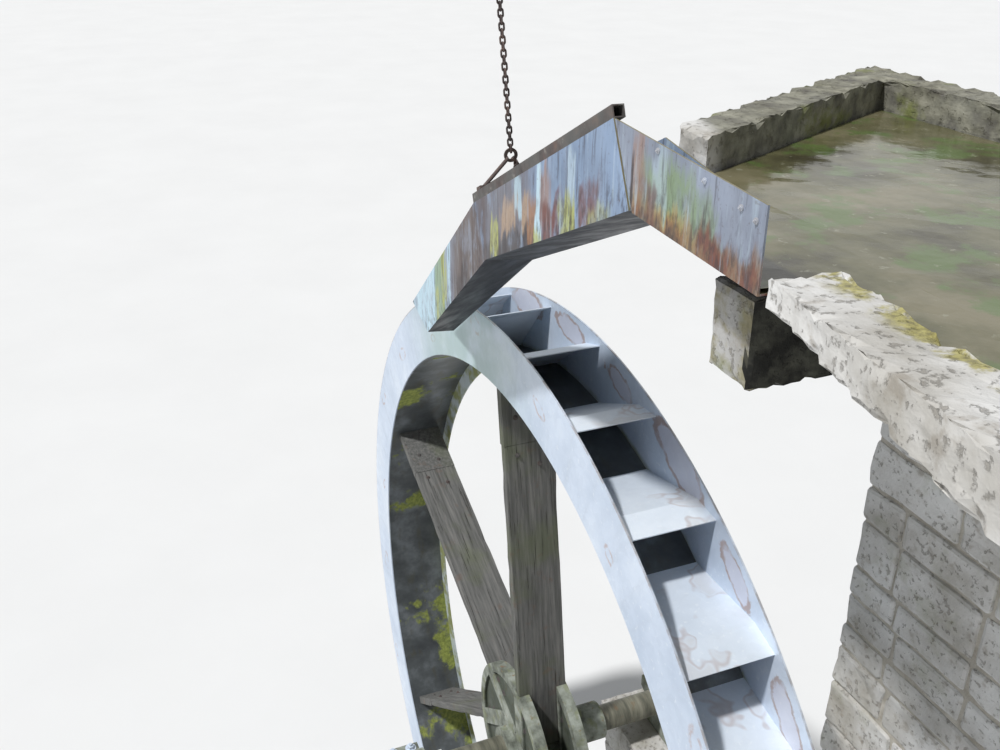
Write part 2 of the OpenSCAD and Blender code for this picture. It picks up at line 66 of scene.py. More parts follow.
# The chute, from the joint of its two lengths: its angles, its inlet, and where its floor is creased
CHUTE_JOINT = AXLE + Vector((1.656, -0.562, 3.258))
CHUTE_YAW, LOWER_SLOPE, SPOUT_SLOPE = math.radians(3.8), math.radians(24), math.radians(36)
FLOW = Vector((-math.cos(CHUTE_YAW), math.sin(CHUTE_YAW), 0))
ACROSS = Vector((math.sin(CHUTE_YAW), math.cos(CHUTE_YAW), 0))
CHUTE_WIDE, INLET = 0.25, -0.5003
CREASE, CREASE_Z = 0.996, -0.443

# The headrace channel: its near and front walls stand skew, and the water stands above the chute's joint
NEAR_WALL_ANGLE, FRONT_ANGLE = math.radians(14.7), math.radians(27.2)
NEAR_WALL_THICK, BACK_WALL_THICK, FRONT_WALL = 0.15, 0.14, 0.143
WATER_LEVEL, WATER_CLEARANCE = 0.0135, 0.003

# The camera stands where the photograph was taken from
CAMERA_PLACE = AXLE + Vector((3.4261, -1.5543, 3.8691))
CAMERA_AIM = Vector((-0.834, 0.334, -0.440))
CAMERA_LENS = 36.52
SUN_WAY = Vector((-0.095, 0.536, -0.839))
SUN_STRENGTH, SKY_STRENGTH = 3.0, 0.33
SKY_COLOUR = (0.94, 0.97, 1, 1)


class Finish:
    """One material: patterns on the piece's own Object coordinates, mixed into one shader."""

    def __init__(self, name, roughness, metallic=0.0, specular=0.4):
        self.material = bpy.data.materials.new(name)
        self.material.use_nodes = True
        tree = self.material.node_tree
        self.nodes, self.links = tree.nodes, tree.links
        self.shader = self.nodes["Principled BSDF"]
        self.shader.inputs["Roughness"].default_value = roughness
        self.shader.inputs["Metallic"].default_value = metallic
        self.shader.inputs["Specular IOR Level"].default_value = specular
        self.place = self.add("TexCoord", {}, "Object")

    def add(self, kind, sockets, out=0, **settings):
        """A shader node of that kind, with its sockets set or linked. Gives its output."""
        made = self.nodes.new("ShaderNode" + kind)
        for key, value in settings.items():
            setattr(made, key, value)
        for key, value in sockets.items():
            if isinstance(value, bpy.types.NodeSocket):
                self.links.new(value, made.inputs[key])
            else:
                made.inputs[key].default_value = value
        return made.outputs[out]

    def math(self, operation, a, b=0.0, c=0.0):
        return self.add("Math", {0: a, 1: b, 2: c}, operation=operation)

    def times(self, first, *others):
        """The product of all the values."""
        for other in others:
            first = self.math("MULTIPLY", first, other)
        return first

    def minus(self, a, b):
        return self.math("SUBTRACT", a, b)

    def gap(self, a, b):
        """How far apart two values are, whichever is larger."""
        return self.math("ABSOLUTE", self.minus(a, b))

    def length(self, a, b):
        """How far off the place is that lies a one way and b the other."""
        return self.math("SQRT", self.math("ADD", self.times(a, a), self.times(b, b)))

    def stretched(self, stretch, place=None, turn=(0, 0, 0)):
        """Coordinates in which a pattern is that many times denser along each axis."""
        return self.add("Mapping", {"Vector": place or self.place, "Scale": stretch, "Rotation": turn})

    def noise(self, size, place=None, detail=5.0, distortion=0.0):
        """Clouds whose largest blots are about that many metres across."""
        return self.add("TexNoise", {"Vector": place or self.place, "Scale": 1 / size, "Detail": detail,
                                     "Roughness": 0.6, "Distortion": distortion})

    def cells(self, size):
        """A random value for each crystal of that many metres."""
        return self.axes(self.add("TexVoronoi", {"Vector": self.place, "Scale": 1 / size}, "Color"))[0]

    def step(self, value, low, high, to_low=0.0, to_high=1.0):
        """Rises smoothly from to_low to to_high as value goes from low to high."""
        return self.add("MapRange", {"Value": value, "From Min": low, "From Max": high,
                                     "To Min": to_low, "To Max": to_high},
                        interpolation_type="SMOOTHSTEP")

    def ramp(self, value, *stops):
        """Colour that passes through the (position, red, green, blue) stops."""
        made = self.nodes.new("ShaderNodeValToRGB")
        self.links.new(value, made.inputs[0])
        colours = made.color_ramp.elements
        while len(colours) < len(stops):
            colours.new(0.5)
        for colour, (position, *rgb) in zip(colours, stops):
            colour.position = position
            colour.color = (*rgb, 1)
        return made.outputs[0]

    def over(self, under, mask, colour):
        """The colour laid over what is under it, as far as the mask says."""
        if not isinstance(colour, bpy.types.NodeSocket):
            colour = (*colour, 1)
        if not isinstance(under, bpy.types.NodeSocket):
            under = (*under, 1)
        return self.add("Mix", {0: mask, 6: under, 7: colour}, 2, data_type="RGBA")

    def axes(self, place=None):
        """The x, y and z of a place, as three values."""
        made = self.nodes.new("ShaderNodeSeparateXYZ")
        self.links.new(place or self.place, made.inputs[0])
        return made.outputs

    def measured_from(self, point):
        """Place measured from that point."""
        return self.add("VectorMath", {0: self.place, 1: tuple(point)}, operation="SUBTRACT")

    def facing(self, axis):
        """How far the surface faces along an axis: 1 straight along it, -1 straight against it."""
        return self.axes(self.add("TexCoord", {}, "Normal"))[axis]

    def polar(self):
        """Radius from the axle, angle clockwise from straight up as the near side shows it, and y."""
        x, y, z = self.axes(self.measured_from(AXLE))
        return self.length(x, z), self.math("ARCTAN2", x, z), y

    def rolled_out(self):
        """Coordinates that follow the rim: round it, across it and out from the axle, in metres."""
        radius, angle, across = self.polar()
        return self.add("CombineXYZ", {0: self.times(angle, WHEEL_R), 1: across, 2: radius})

    def relief(self, *layers):
        """Bumps from (height, strength, depth in metres) layers, the first one deepest."""
        normal = None
        for height, strength, depth in layers:
            sockets = {"Height": height, "Strength": strength, "Distance": depth}
            if normal is not None:
                sockets["Normal"] = normal
            normal = self.add("Bump", sockets)
        self.links.new(normal, self.shader.inputs["Normal"])

    def finish(self, colour, roughness=None):
        self.links.new(colour, self.shader.inputs["Base Color"])
        if roughness is not None:
            self.links.new(roughness, self.shader.inputs["Roughness"])
        return self.material


def tide_line(f, pitch, first, middle, sway, long, wide, outline):
    """Ovals that stand round the rim, one every pitch: a mask of their inside, and one of their outline."""
    radius, angle, _ = f.polar()
    place = f.math("DIVIDE", f.minus(angle, first), pitch)
    number = f.math("ROUND", place)
    round_rim = f.times(f.minus(place, number), pitch * middle)
    wander = f.math("SINE", f.times(number, 4.2))
    out = f.minus(radius, f.math("MULTIPLY_ADD", wander, sway, middle))
    leaning = f.math("MULTIPLY_ADD", out, 0.5, round_rim)
    distance = f.length(f.math("DIVIDE", leaning, long), f.math("DIVIDE", out, wide))
    wobble = f.times(f.minus(f.noise(0.07), 0.5), 0.9)
    shrunk = f.math("MULTIPLY_ADD", f.math("SINE", f.times(number, 2.3)), 0.35, 1.2)
    distance = f.times(f.math("ADD", distance, wobble), shrunk)
    inside = f.step(distance, 0.9, 1.05, 1, 0)
    edge = f.step(f.gap(distance, 1.0), outline * 0.4, outline, 1, 0)
    return inside, edge


def galvanised(name, wet=0.0, loops=False, ovals=False, stain=0.0, bloom_and_sheen=0.0):
    """Zinc-coated sheet: spangle, water runs, white bloom and rust tide marks."""
    f = Finish(name, roughness=0.45, metallic=0.15, specular=0.45)
    rim = f.rolled_out()
    grain = f.cells(0.03)
    clouds = f.noise(0.45, rim)
    runs = f.noise(0.07, f.stretched((1, 1, 0.16), rim))
    colour = f.ramp(clouds, (0.3, 0.50, 0.58, 0.70), (0.5, 0.62, 0.70, 0.82), (0.72, 0.74, 0.81, 0.90))
    colour = f.over(colour, f.step(grain, 0.1, 0.9, 0, 0.16), (0.44, 0.51, 0.62))
    colour = f.over(colour, f.step(runs, 0.5, 0.75, 0, 0.3), (0.44, 0.50, 0.58))
    colour = f.over(colour, f.step(f.noise(0.02), 0.56, 0.74, 0, 0.4), (0.86, 0.90, 0.94))
    rust = (0.36, 0.23, 0.18)
    # Whitens the sheet: partly white bloom, partly a painted sheen for the buckets' sunlit faces.
    if bloom_and_sheen:
        colour = f.over(colour, f.step(clouds, 0.3, 0.7, bloom_and_sheen * 0.7, bloom_and_sheen), (0.88, 0.93, 0.96))
    if stain:
        low = f.noise(0.3, f.stretched((1, 1, 0.7), rim), detail=3, distortion=0.1)
        colour = f.over(colour, f.step(low, 0.56, 0.62, 0, stain), (0.50, 0.45, 0.42))
        edge = f.step(f.gap(low, 0.57), 0.0, 0.025, 0.4, 0)
        colour = f.over(colour, f.times(edge, f.step(f.noise(0.2), 0.4, 0.6)), rust)
    radius, angle, _ = f.polar()
    if loops:
        first = FIRST_LIP + 0.42 * PITCH
        inside, edge = tide_line(f, PITCH, first, WHEEL_R - 0.075, 0.02, 0.15, 0.062, 0.16)
        inner_side = f.step(f.facing(1), -0.3, -0.6)
        colour = f.over(colour, f.times(inside, inner_side, 0.4), (0.62, 0.56, 0.63))
        broken = f.step(f.noise(0.08), 0.35, 0.55, 0.15, 0.7)
        colour = f.over(colour, f.times(edge, inner_side, broken), rust)
        root = f.step(radius, SOLE_R + 0.03, SOLE_R - 0.01)
        mossy = f.step(f.noise(0.1, rim), 0.4, 0.6, 0.3, 0.95)
        colour = f.over(colour, f.times(root, mossy), (0.25, 0.27, 0.09))
    if ovals:
        spacing, first = math.radians(18), math.radians(10)
        _, edge = tide_line(f, spacing, first, WHEEL_R - 0.132, 0.07, 0.055, 0.032, 0.3)
        broken = f.step(f.noise(0.05), 0.42, 0.6)
        colour = f.over(colour, f.times(edge, broken, 0.6), (0.45, 0.30, 0.25))
    if wet:
        under_spout = f.step(f.gap(angle, math.radians(-14)), 0.12, 0.5, 1, 0)
        damp = f.times(under_spout, f.step(f.noise(0.3, rim), 0.3, 0.6, 0.3, 1))
        colour = f.over(colour, f.times(damp, wet), (0.30, 0.42, 0.38))
    brim = f.step(radius, WHEEL_R - 0.006, WHEEL_R - 0.002)
    colour = f.over(colour, f.times(brim, f.step(runs, 0.4, 0.6, 0.1, 0.6)), (0.30, 0.25, 0.21))
    dents = f.noise(0.3, rim, detail=2)
    f.relief((dents, 0.35, 0.006), (grain, 0.1, 0.0006), (f.noise(0.005), 0.1, 0.0004))
    return f.finish(colour, f.step(clouds, 0.3, 0.8, 0.55, 0.36))


def wet_sole_painted_shade(name):
    """The ring between the buckets and the arms: sheet always wet and shaded, dark with slime and moss; its
    dark colour is partly painted shade.
    """
    f = Finish(name, roughness=0.4, metallic=0.1, specular=0.5)
    rim = f.rolled_out()
    # Dark base colour: partly wet slime, partly painted shade for the shade the sole always lies in.
    colour = f.ramp(f.noise(0.2, rim), (0.3, 0.045, 0.05, 0.055), (0.5, 0.085, 0.095, 0.10),
                    (0.72, 0.19, 0.21, 0.23))
    slime = f.noise(0.06, f.stretched((0.4, 1, 1), rim))
    colour = f.over(colour, f.step(slime, 0.52, 0.7, 0, 0.5), (0.07, 0.065, 0.04))
    inner_side = f.step(f.polar()[0], SOLE_R - 0.001, SOLE_R - 0.003)
    growth = f.times(f.step(f.noise(0.35, rim, detail=7), 0.54, 0.6, 0, 0.9), inner_side)
    moss = f.ramp(f.noise(0.02), (0.3, 0.12, 0.15, 0.03), (0.7, 0.34, 0.38, 0.08))
    colour = f.over(colour, growth, moss)
    f.relief((f.noise(0.3, rim, detail=2), 0.3, 0.006), (growth, 0.4, 0.002), (f.noise(0.006), 0.2, 0.0008))
    return f.finish(colour, f.step(growth, 0.1, 0.6, 0.35, 0.85))


def weathered_plank(name, angle):
    """Grey softwood, cracked and greenish, with its grain along the arm at that angle."""
    f = Finish(name, roughness=0.85, specular=0.25)
    turned = f.stretched((1, 1, 1), f.measured_from(AXLE), turn=(0, -angle, 0))
    grain = f.stretched((14, 14, 0.9), turned)
    rings = f.noise(0.22, grain, detail=7)
    colour = f.ramp(rings, (0.3, 0.085, 0.085, 0.08), (0.5, 0.13, 0.13, 0.125), (0.72, 0.20, 0.195, 0.185))
    colour = f.over(colour, f.step(f.noise(0.3), 0.48, 0.7, 0, 0.6), (0.12, 0.135, 0.08))
    colour = f.over(colour, f.step(f.noise(0.08), 0.58, 0.7, 0, 0.4), (0.15, 0.10, 0.075))
    cracks = f.step(f.noise(0.12, f.stretched((30, 30, 0.5), turned), detail=3), 0.62, 0.7)
    colour = f.over(colour, cracks, (0.04, 0.035, 0.03))
    f.relief((cracks, 0.9, -0.003), (rings, 0.6, 0.002), (f.noise(0.01), 0.3, 0.001))
    return f.finish(colour)


def mossy_iron(name, flange=None):
    """Cast iron, rough from the mould, with grey-green growth. A flange gets painted shade, dark down in its
    pockets.
    """
    f = Finish(name, roughness=0.8, metallic=0.1)
    colour = f.ramp(f.noise(0.09), (0.35, 0.10, 0.11, 0.09), (0.5, 0.24, 0.26, 0.22),
                    (0.7, 0.42, 0.45, 0.40))
    colour = f.over(colour, f.step(f.noise(0.06), 0.5, 0.65, 0, 0.5), (0.20, 0.22, 0.10))
    colour = f.over(colour, f.step(f.noise(0.03), 0.6, 0.72, 0, 0.6), (0.22, 0.11, 0.05))
    if flange:
        low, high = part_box(flange)
        middle, half, radius = (low.y + high.y) / 2, (high.y - low.y) / 2, high.z - AXLE.z
        # Painted shade: the pockets are darkened where they sink below the flange's faces.
        pocket = f.step(f.gap(f.axes()[1], middle), half - 0.003, half - 0.009)
        inside = f.step(f.polar()[0], radius - 0.006, radius - 0.020)
        colour = f.over(colour, f.times(pocket, inside, 0.8), (0.045, 0.055, 0.04))
    f.relief((f.noise(0.02), 0.35, 0.002), (f.noise(0.004), 0.35, 0.001))
    return f.finish(colour)


def wet_shaft(name):
    """Turned steel, wet and dull, with marks round it."""
    f = Finish(name, roughness=0.5, metallic=0.3)
    along = f.stretched((1, 6, 1))
    colour = f.ramp(f.noise(0.2, along), (0.35, 0.09, 0.09, 0.07), (0.55, 0.19, 0.185, 0.14),
                    (0.75, 0.27, 0.26, 0.21))
    colour = f.over(colour, f.step(f.noise(0.05), 0.58, 0.7, 0, 0.4), (0.20, 0.11, 0.05))
    f.relief((f.noise(0.03, along), 0.4, 0.002), (f.noise(0.005), 0.3, 0.0008))
    return f.finish(colour)


def rusty_dark(name, shine=0.0):
    """Mild steel left to rust: dark purple-brown, with pale worn edges where shine is given."""
    f = Finish(name, roughness=0.75, metallic=0.2)
    colour = f.ramp(f.noise(0.05), (0.3, 0.05, 0.04, 0.04), (0.55, 0.105, 0.08, 0.075),
                    (0.75, 0.20, 0.13, 0.10))
    if shine:
        colour = f.over(colour, f.step(f.noise(0.12), 0.35, 0.6, 0, shine), (0.13, 0.14, 0.135))
        colour = f.over(colour, f.step(f.noise(0.04), 0.6, 0.72, 0, 0.5), (0.34, 0.33, 0.30))
    f.relief((f.noise(0.012), 0.5, 0.001), (f.noise(0.003), 0.3, 0.0005))
    return f.finish(colour)


# Colours that ran down the chute's sides
ZINC_GREY, ZINC_BLUE = (0.25, 0.285, 0.36), (0.25, 0.335, 0.48)
ZINC_PALE, WET_WHITE = (0.48, 0.60, 0.69), (0.52, 0.70, 0.80)
RUST_RED, RUST_BROWN, DARK_BROWN = (0.16, 0.06, 0.05), (0.11, 0.075, 0.06), (0.04, 0.033, 0.036)
BUFF, OCHRE = (0.40, 0.28, 0.19), (0.34, 0.17, 0.075)
ALGAE, YELLOW_GREEN = (0.22, 0.31, 0.15), (0.42, 0.44, 0.13)


def streaked_sheet(name, slope, start, foot, ground, zones):
    """Chute plate in its ground colour. Each zone is a run of rust or algae: its middle and half width
    along the chute, its lowest and highest place on the side, its colour and its strength."""
    f = Finish(name, roughness=0.55, metallic=0.1, specular=0.4)
    x, y, z = f.axes(f.measured_from(CHUTE_JOINT))
    flow = f.minus(f.times(y, math.sin(CHUTE_YAW)), f.times(x, math.cos(CHUTE_YAW)))
    height = f.minus(f.math("MULTIPLY_ADD", f.minus(flow, start), math.tan(slope), z), foot)
    down = f.stretched((1, 1, 0.12))
    drips = f.noise(0.045, down, detail=4)
    patches = f.noise(0.06, f.stretched((1, 1, 0.5)), detail=6)
    along = f.math("MULTIPLY_ADD", f.minus(drips, 0.5), 0.14, flow)
    rising = f.math("MULTIPLY_ADD", f.minus(drips, 0.5), 0.15, height)
    rising = f.math("MULTIPLY_ADD", f.minus(patches, 0.5), 0.14, rising)
    pale = [min(1.0, part * 1.25) for part in ground]
    deep = [part * 0.75 for part in ground]
    colour = f.ramp(f.noise(0.25), (0.3, *deep), (0.5, *ground), (0.72, *pale))
    for middle, half, lowest, highest, tint, strength in zones:
        within = f.step(f.gap(along, middle), half * 0.6, half, 1, 0)
        above = f.step(rising, lowest - 0.012, lowest + 0.012)
        below = f.step(rising, highest - 0.02, highest + 0.02, 1, 0)
        mottled = f.step(patches, 0.32, 0.52, strength * 0.35, strength)
        colour = f.over(colour, f.times(within, above, below, mottled), tint)
    grime = f.step(f.noise(0.014, f.stretched((1, 1, 0.4)), detail=8), 0.47, 0.62, 0, 0.6)
    colour = f.over(colour, f.times(grime, f.step(rising, 0.13, 0.02)), DARK_BROWN)
    fine = f.noise(0.018, f.stretched((1, 1, 0.09)), detail=7)
    colour = f.over(colour, f.step(fine, 0.54, 0.68, 0, 0.6), DARK_BROWN)
    colour = f.over(colour, f.step(fine, 0.45, 0.3, 0, 0.4), ZINC_PALE)
    colour = f.over(colour, f.step(f.noise(0.010, detail=7), 0.60, 0.68, 0, 0.35), RUST_BROWN)
    upward = f.facing(2)
    colour = f.over(colour, f.step(upward, 0.35, 0.5), (0.20, 0.18, 0.11))
    # Painted shade: faces that point down are made very dark, standing for the shade under the chute.
    under = f.ramp(f.noise(0.15), (0.35, 0.014, 0.016, 0.02), (0.65, 0.035, 0.038, 0.044))
    colour = f.over(colour, f.step(upward, -0.3, -0.5), under)
    f.relief((f.noise(0.25, detail=2), 0.4, 0.006), (f.noise(0.01), 0.35, 0.0008))
    return f.finish(colour, f.step(f.noise(0.1, down), 0.35, 0.7, 0.4, 0.7))


def limestone(name, moss=0.4, pale=1.0, shelf=False, painted_shade_side=False):
    """Pale stone, pitted, with lichen and moss. A shelf is mossy and wet towards the water. With a shaded
    side, moss is added
     and faces turned towards +x are made very dark: painted shade for the side no sun reaches."""
    f = Finish(name, roughness=0.92, specular=0.2)
    colour = f.ramp(f.noise(0.3), (0.3, 0.36 * pale, 0.34 * pale, 0.30 * pale),
                    (0.5, 0.58 * pale, 0.57 * pale, 0.55 * pale),
                    (0.72, 0.76 * pale, 0.76 * pale, 0.75 * pale))
    pits = f.step(f.noise(0.02, detail=8), 0.56, 0.66)
    colour = f.over(colour, f.times(pits, 0.55), (0.20, 0.18, 0.15))
    colour = f.over(colour, f.step(f.noise(0.05, detail=8), 0.55, 0.68, 0, 0.45), (0.26, 0.22, 0.17))
    growth = f.step(f.noise(0.22, detail=8), 0.54, 0.64, 0, moss)
    if shelf:
        x, y, _ = f.axes(f.measured_from(CHUTE_JOINT))
        from_wall = f.math("MULTIPLY_ADD", x, math.tan(NEAR_WALL_ANGLE), y)
        inside = f.step(from_wall, 0.25, 0.30)
        lichen = f.ramp(f.noise(0.06, detail=8), (0.35, 0.065, 0.06, 0.045), (0.5, 0.17, 0.165, 0.12),
                        (0.65, 0.31, 0.30, 0.23))
        colour = f.over(colour, f.times(inside, 0.85), lichen)
        patchy = f.step(f.noise(0.1, detail=7), 0.47, 0.56)
        beside_wall = f.step(f.gap(from_wall, 0.24), 0.02, 0.07, 1, 0)
        inner_edge = f.times(patchy, beside_wall, f.step(y, 0.16, 0.12))
        moss_colour = f.ramp(f.noise(0.015), (0.35, 0.17, 0.15, 0.05), (0.6, 0.42, 0.38, 0.12))
        colour = f.over(colour, f.times(inner_edge, 0.85), moss_colour)
        growth = f.times(growth, inside)
    colour = f.over(colour, growth, (0.20, 0.22, 0.07))
    if painted_shade_side:
        colour = f.over(colour, f.step(f.noise(0.07, detail=7), 0.42, 0.6, 0, 0.7), (0.26, 0.23, 0.11))
        # Painted shade: faces turned towards +x are made very dark, as if in shadow.
        painted_shade_colour = f.ramp(f.noise(0.05), (0.4, 0.02, 0.02, 0.018), (0.7, 0.08, 0.08, 0.065))
        colour = f.over(colour, f.step(f.facing(0), 0.3, 0.6), painted_shade_colour)
    f.relief((f.noise(0.08), 0.8, 0.012), (pits, 0.7, -0.004), (f.noise(0.006), 0.4, 0.001))
    return f.finish(colour)


def mortar(name):
    f = Finish(name, roughness=0.95, specular=0.15)
    colour = f.ramp(f.noise(0.05), (0.3, 0.34, 0.31, 0.26), (0.7, 0.58, 0.55, 0.49))
    f.relief((f.noise(0.01), 0.8, 0.004))
    return f.finish(colour)


def still_water(name):
    f = Finish(name, roughness=0.12, specular=0.25)
    colour = f.ramp(f.noise(0.25), (0.35, 0.045, 0.04, 0.02), (0.5, 0.11, 0.105, 0.05),
                    (0.65, 0.19, 0.17, 0.10))
    colour = f.over(colour, f.step(f.noise(0.16, detail=8), 0.52, 0.62, 0, 0.8), (0.09, 0.15, 0.035))
    colour = f.over(colour, f.step(f.noise(0.03, detail=8), 0.62, 0.7, 0, 0.5), (0.30, 0.30, 0.22))
    f.relief((f.noise(0.09), 0.3, 0.004), (f.noise(0.02), 0.2, 0.001))
    return f.finish(colour)


ZINC_NEAR = galvanised("galvanised_near", wet=0.7, ovals=True)
ZINC_FAR = galvanised("galvanised_far", loops=True)
SOLE = wet_sole_painted_shade("wet_sole_painted_shade")
ZINC_BUCKET = galvanised("galvanised_bucket", stain=0.3, bloom_and_sheen=0.5)
IRON = mossy_iron("mossy_iron")
NEAR_FLANGE = mossy_iron("near_flange_iron_painted_shade", flange="near_flange")
FAR_FLANGE = mossy_iron("far_flange_iron_painted_shade", flange="far_flange")
DARK = rusty_dark("rusty_dark")
RAIL = rusty_dark("rail_steel", shine=0.6)
SHAFT = wet_shaft("wet_shaft")
UPPER = streaked_sheet("streaked_upper", 0.0, 0.0, 0.0, ZINC_GREY, (
    (-0.16, 0.15, 0.0, 0.13, ALGAE, 0.8), (-0.12, 0.05, 0.02, 0.16, ZINC_PALE, 0.5),
    (-0.32, 0.05, -0.05, 0.10, ALGAE, 0.6), (-0.29, 0.34, -0.05, 0.045, YELLOW_GREEN, 0.75),
    (-0.33, 0.30, -0.05, 0.040, OCHRE, 0.9), (-0.42, 0.20, -0.05, 0.055, RUST_RED, 0.9),
    (-0.12, 0.14, -0.05, 0.022, RUST_BROWN, 0.9), (-0.07, 0.05, 0.0, 0.09, RUST_RED, 0.8),
    (-0.02, 0.035, -0.05, 0.25, OCHRE, 0.55), (0.0, 0.014, -0.05, 0.12, DARK_BROWN, 0.9)))
LOWER = streaked_sheet("streaked_lower", LOWER_SLOPE, 0.0, 0.0, ZINC_BLUE, (
    (0.80, 0.26, -0.05, 0.30, RUST_BROWN, 0.7), (0.78, 0.09, 0.05, 0.15, BUFF, 0.9),
    (0.64, 0.05, 0.04, 0.14, BUFF, 0.9), (0.70, 0.03, 0.10, 0.20, WET_WHITE, 0.7),
    (0.50, 0.05, 0.05, 0.20, OCHRE, 0.6), (0.44, 0.09, -0.05, 0.095, RUST_RED, 0.95),
    (0.20, 0.07, -0.02, 0.085, RUST_RED, 0.85), (0.16, 0.08, -0.05, 0.025, YELLOW_GREEN, 0.6),
    (0.78, 0.27, -0.05, 0.055, DARK_BROWN, 0.9), (0.575, 0.03, -0.02, 0.12, OCHRE, 0.85),
    (0.535, 0.024, -0.05, 0.22, WET_WHITE, 0.95), (0.54, 0.03, -0.05, 0.035, YELLOW_GREEN, 0.85),
    (0.31, 0.022, 0.08, 0.19, ZINC_PALE, 0.7), (0.32, 0.035, -0.05, 0.085, YELLOW_GREEN, 0.9),
    (0.36, 0.02, -0.05, 0.06, YELLOW_GREEN, 0.7), (0.90, 0.035, -0.02, 0.12, YELLOW_GREEN, 0.9),
    (1.08, 0.12, -0.05, 0.30, RUST_BROWN, 0.8), (0.0, 0.012, -0.05, 0.25, DARK_BROWN, 0.7)))
SPOUT = streaked_sheet("streaked_spout", SPOUT_SLOPE, CREASE, CREASE_Z, ZINC_GREY, (
    (1.17, 0.26, -0.05, 0.30, RUST_BROWN, 0.9), (1.26, 0.10, -0.05, 0.08, DARK_BROWN, 0.6),
    (1.79, 0.37, -0.05, 0.35, WET_WHITE, 0.95), (1.56, 0.09, -0.05, 0.35, ALGAE, 0.85),
    (1.50, 0.035, 0.03, 0.35, YELLOW_GREEN, 0.8), (1.60, 0.03, -0.05, 0.12, YELLOW_GREEN, 0.75),
    (1.43, 0.016, -0.05, 0.35, WET_WHITE, 0.8)))
STONE = limestone("limestone", moss=0.2)
CURB_STONE = limestone("curb_stone", moss=0.85, pale=1.12, shelf=True)
MOSSY_STONE = limestone("mossy_limestone_painted_shade", moss=0.7, pale=0.75, painted_shade_side=True)
BRIGHT = galvanised("galvanised_bolts")
BOLT = rusty_dark("rusty_bolts", shine=0.5)
PLANKS = [weathered_plank(f"plank_{n + 1}", FIRST_ARM + n * math.pi / 3) for n in range(ARMS)]
MORTAR = mortar("lime_mortar")
WATER = still_water("still_water")


def dress(finish, *nodes):
    for name in nodes:
        slots = frame["nodes"][name].data.materials
        slots.clear()
        slots.append(finish)


dress(ZINC_NEAR, "near_shroud")
dress(ZINC_FAR, "far_shroud")
dress(SOLE, "sole")
dress(ZINC_BUCKET, *[f"buckets_{n}" for n in range(1, 7)])
dress(IRON, "hub_boss", "hub_collar", "near_bearing", "far_bearing", "near_bearing_cap", "far_bearing_cap")
dress(NEAR_FLANGE, "near_flange")
dress(FAR_FLANGE, "far_flange")
dress(SHAFT, "axle")
dress(UPPER, "upper_chute")
dress(LOWER, "lower_chute")
dress(SPOUT, "chute_spout")
dress(RAIL, "chute_rails")
dress(DARK, "chute_hanger", "hanger_chain", "chain_eye")
dress(STONE, "near_pier", "far_pier", "near_cap_stone", "far_cap_stone", "headrace_pier")
dress(MOSSY_STONE, "headrace_beam")
dress(CURB_STONE, "headrace_channel")
dress(weathered_plank("end_piece_wood", FIRST_ARM), "arm_end_pieces")
for number, plank in enumerate(PLANKS):
    dress(plank, f"arm_{number + 1}")


def new_piece(name, mesh, body, slot, *finishes):
    """Makes a piece of the mesh. A closed one has its faces turned outwards, an open sheet is left alone."""
    data = bpy.data.meshes.new(name)
    if all(edge.is_manifold for edge in mesh.edges):
        bmesh.ops.recalc_face_normals(mesh, faces=mesh.faces)
    mesh.to_mesh(data)
    mesh.free()
    for finish in finishes:
        data.materials.append(finish)
    piece = bpy.data.objects.new(name, data)
    bpy.context.scene.collection.objects.link(piece)
    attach(piece, body)
    return piece


def edges_of(verts):
    """Every edge at the points, once each and always in the same order."""
    return list(dict.fromkeys(e for v in verts for e in v.link_edges))


def add_block(mesh, low, high, edge=0.0):
    """A block between two corners, its edges rounded."""
    made = bmesh.ops.create_cube(mesh, size=1.0)["verts"]
    low, high = Vector(low), Vector(high)
    bmesh.ops.scale(mesh, verts=made, vec=high - low)
    bmesh.ops.translate(mesh, verts=made, vec=(low + high) / 2)
    if edge:
        edges = edges_of(made)
        bmesh.ops.bevel(mesh, geom=edges, offset=edge, offset_type="OFFSET", segments=2,
                        affect="EDGES", profile=0.5, material=-1)


def keep_inside(mesh, low, high):
    for v in mesh.verts:
        v.co = Vector(min(max(c, lo), hi) for c, lo, hi in zip(v.co, low, high))


def roughen(mesh, depth, size, low, high):
    """Pushes the points about by up to depth, and keeps them inside the box."""
    for v in mesh.verts:
        v.co += noise.noise_vector(v.co / size) * depth
    keep_inside(mesh, low, high)


def stone_courses(node, seed):
    """A pier as courses of dressed stones round a mortar core, standing for its solid."""
    low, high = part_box(node)
    rng = random.Random(seed)
    joint = 0.008
    mesh = bmesh.new()
    z, row = low.z, 0
    while z < high.z - 0.01:
        height = rng.uniform(0.10, 0.19)
        if high.z - z - height < 0.09:
            height = high.z - z
        long_way = high.x - low.x > 2 * (high.y - low.y)
        axis = 0 if long_way else row % 2
        length = high[axis] - low[axis]
        count = max(2, round(length / rng.uniform(0.24, 0.40)))
        cuts = [0.0, *[(i + rng.uniform(-0.28, 0.28)) / count for i in range(1, count)], 1.0]
        for start, end in zip(cuts, cuts[1:]):
            a, b = low.copy(), high.copy()
            a[axis], b[axis] = low[axis] + length * start, low[axis] + length * end
            a[axis] += joint / 2 if start else 0
            b[axis] -= joint / 2 if end < 1 else 0
            a.z, b.z = z, min(z + height - joint, high.z)
            side = 1 if long_way else 1 - axis
            a[side] += rng.uniform(0, 0.007)
            b[side] -= rng.uniform(0, 0.007)
            add_block(mesh, a, b, 0.014)
        z += height
        row += 1
    bmesh.ops.subdivide_edges(mesh, edges=[e for e in mesh.edges if e.calc_length() > 0.1], cuts=2,
                              use_grid_fill=True)
    roughen(mesh, 0.009, 0.06, low, high)
    stones = new_piece(node + "_stones", mesh, "structure", "masonry", STONE)
    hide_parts(node)
    inset = Vector((0.012, 0.012, 0))
    core = bmesh.new()
    add_block(core, low + inset, high - inset)
    new_piece(node + "_mortar", core, "structure", "masonry", MORTAR)


